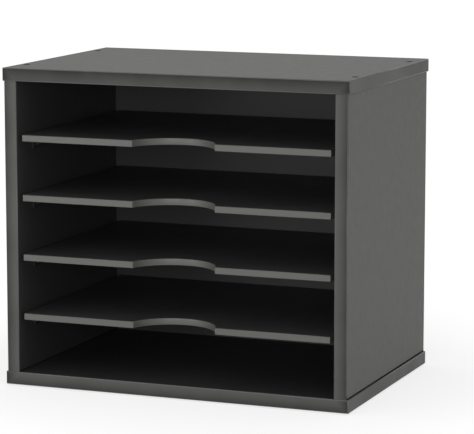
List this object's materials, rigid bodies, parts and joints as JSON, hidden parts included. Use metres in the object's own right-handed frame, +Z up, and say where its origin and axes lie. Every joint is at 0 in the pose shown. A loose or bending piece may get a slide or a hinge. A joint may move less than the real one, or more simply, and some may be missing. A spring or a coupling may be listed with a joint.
{
  "type": "desktop file organizer",
  "caption": "Open-fronted desktop file organizer: screwed board carcass with removable thin shelves, each with a round finger cut-out, that form equal letter slots.",
  "frame": {"origin": "on the table under the middle of the object", "axes": "+X to the right, the open front faces -Y, +Z up"},
  "size_m": [0.3462, 0.235, 0.3048],
  "materials": {
    "carcass_board": "charcoal laminate on fibreboard, satin",
    "edge_banding": "charcoal plastic edge band, satin",
    "back_board": "dark faced hardboard",
    "shelf_board": "dark faced fibreboard with charcoal painted edges",
    "pin_plastic": "moulded black plastic",
    "screw_steel": "black oxide steel",
    "foot_pad": "soft black foam rubber"
  },
  "bodies": {
    "carcass": {"top_panel": "carcass_board", "bottom_panel": "carcass_board", "left_side_panel": "carcass_board", "right_side_panel": "carcass_board", "back_panel": "back_board", "top_front_band": "edge_banding", "top_left_band": "edge_banding", "top_right_band": "edge_banding", "bottom_front_band": "edge_banding", "bottom_left_band": "edge_banding", "bottom_right_band": "edge_banding", "left_side_front_band": "edge_banding", "right_side_front_band": "edge_banding", "shelf_1_pins": "pin_plastic", "shelf_2_pins": "pin_plastic", "shelf_3_pins": "pin_plastic", "shelf_4_pins": "pin_plastic", "top_screws": "screw_steel", "bottom_screws": "screw_steel", "foot_front_left": "foot_pad", "foot_front_right": "foot_pad", "foot_rear_left": "foot_pad", "foot_rear_right": "foot_pad"},
    "shelf_1": {"shelf_1": "shelf_board"},
    "shelf_2": {"shelf_2": "shelf_board"},
    "shelf_3": {"shelf_3": "shelf_board"},
    "shelf_4": {"shelf_4": "shelf_board"}
  },
  "joints": [
    {"name": "shelf_1_slide", "type": "slide", "parent": "carcass", "child": "shelf_1", "axis": [0, -1, 0], "range_m": [0, 0.235]},
    {"name": "shelf_2_slide", "type": "slide", "parent": "carcass", "child": "shelf_2", "axis": [0, -1, 0], "range_m": [0, 0.235]},
    {"name": "shelf_3_slide", "type": "slide", "parent": "carcass", "child": "shelf_3", "axis": [0, -1, 0], "range_m": [0, 0.235]},
    {"name": "shelf_4_slide", "type": "slide", "parent": "carcass", "child": "shelf_4", "axis": [0, -1, 0], "range_m": [0, 0.235]}
  ]
}
